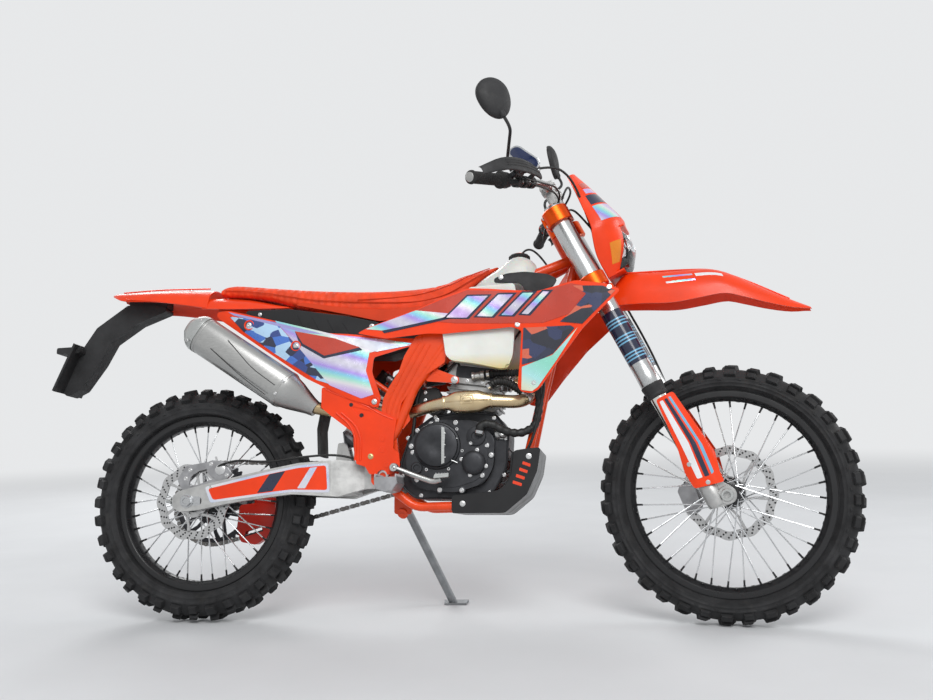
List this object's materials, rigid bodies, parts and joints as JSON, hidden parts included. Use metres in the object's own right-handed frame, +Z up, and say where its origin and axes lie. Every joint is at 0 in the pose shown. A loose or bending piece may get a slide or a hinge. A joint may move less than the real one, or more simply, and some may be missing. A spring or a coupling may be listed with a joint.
{
  "type": "enduro motorcycle",
  "caption": "Off-road motorcycle with spoked wheels, knobbly tyres, single-cylinder engine, tall seat and side stand, parked leaning.",
  "frame": {"origin": "middle of the overall box, on the ground", "axes": "+X forward, +Y the machine's left, +Z up"},
  "size_m": [2.3006, 0.8412, 1.4581],
  "materials": {
    "alloy_rail": "satin",
    "axle_steel": "satin",
    "bar_alloy": "satin",
    "black_plastic": "fine grain",
    "black_rim": "anodised",
    "caliper_metal": "hard coat",
    "cast_alloy": "cast satin",
    "chain_steel": "oiled",
    "chrome_tube": "polished",
    "disc_steel": "ground",
    "engine_metal": "dark cast",
    "flap_rubber": "matt",
    "fork_alloy": "polished satin",
    "frame_paint": "satin powder coat",
    "gloss_black_plastic": "gloss",
    "gloss_blue_plastic": "gloss",
    "grip_rubber": "matt",
    "header_metal": "heat tinted",
    "lamp_lens": "clear lens",
    "lever_metal": "satin",
    "orange_anodised": "anodised",
    "orange_plastic": "gloss",
    "peg_steel": "satin",
    "radiator_alloy": "satin",
    "seat_cover": "ribbed cover",
    "shock_steel": "satin",
    "silencer_metal": "brushed",
    "spoke_steel": "satin",
    "sprocket_alloy": "anodised",
    "stand_metal": "satin",
    "tank_plastic": "milky",
    "tyre_rubber": "matt"
  },
  "bodies": {
    "chassis": {"frame": "frame_paint", "frame_guards": "orange_plastic", "swingarm": "cast_alloy", "shock_absorber": "shock_steel", "subframe": "alloy_rail", "airbox": "black_plastic", "engine_cases": "engine_metal", "engine_top": "engine_metal", "exhaust_header": "header_metal", "silencer": "silencer_metal", "skid_plate": "gloss_black_plastic", "radiators": "radiator_alloy", "radiator_shrouds": "orange_plastic", "fuel_tank": "tank_plastic", "seat": "seat_cover", "side_panels": "orange_plastic", "rear_fender": "orange_plastic", "plate_holder": "black_plastic", "footpegs": "peg_steel", "brake_pedal": "peg_steel", "gear_lever": "peg_steel", "drive_chain": "chain_steel", "chain_guide": "orange_plastic", "rear_caliper": "caliper_metal", "rear_axle": "axle_steel", "mud_flap": "flap_rubber"},
    "steering": {"triple_clamps": "orange_anodised", "fork_outer_tubes": "fork_alloy", "fork_legs": "chrome_tube", "fork_guards": "orange_plastic", "front_axle": "axle_steel", "front_caliper": "caliper_metal", "front_fender": "orange_plastic", "headlight_mask": "orange_plastic", "headlight": "lamp_lens", "handlebar": "bar_alloy", "grips": "grip_rubber", "control_levers": "lever_metal", "hand_guards": "black_plastic", "mirrors": "black_plastic", "display_unit": "gloss_blue_plastic"},
    "front_wheel": {"front_tyre": "tyre_rubber", "front_rim": "black_rim", "front_hub_spokes": "spoke_steel", "front_disc": "disc_steel"},
    "rear_wheel": {"rear_tyre": "tyre_rubber", "rear_rim": "black_rim", "rear_hub_spokes": "spoke_steel", "rear_disc": "disc_steel", "rear_sprocket": "sprocket_alloy"},
    "side_stand": {"side_stand": "stand_metal"}
  },
  "joints": [
    {"name": "steering_turn", "type": "hinge", "parent": "chassis", "child": "steering", "pos_m": [0.40119, -0.03128, 1.03122], "axis": [-0.447, 0.1261, 0.8856], "range_deg": [-35, 53]},
    {"name": "front_wheel_spin", "type": "hinge", "parent": "steering", "child": "front_wheel", "pos_m": [0.80739, -0.13752, 0.34578], "axis": [0.1416, 0.9875, -0.0691], "continuous": true},
    {"name": "rear_wheel_spin", "type": "hinge", "parent": "chassis", "child": "rear_wheel", "pos_m": [-0.68187, -0.13048, 0.33325], "axis": [0.0001, 0.99, -0.1409], "continuous": true},
    {"name": "side_stand_swing", "type": "hinge", "parent": "chassis", "child": "side_stand", "pos_m": [-0.10384, -0.01619, 0.29933], "axis": [0.1786, 0.9055, 0.385], "range_deg": [0, 112.4]}
  ]
}
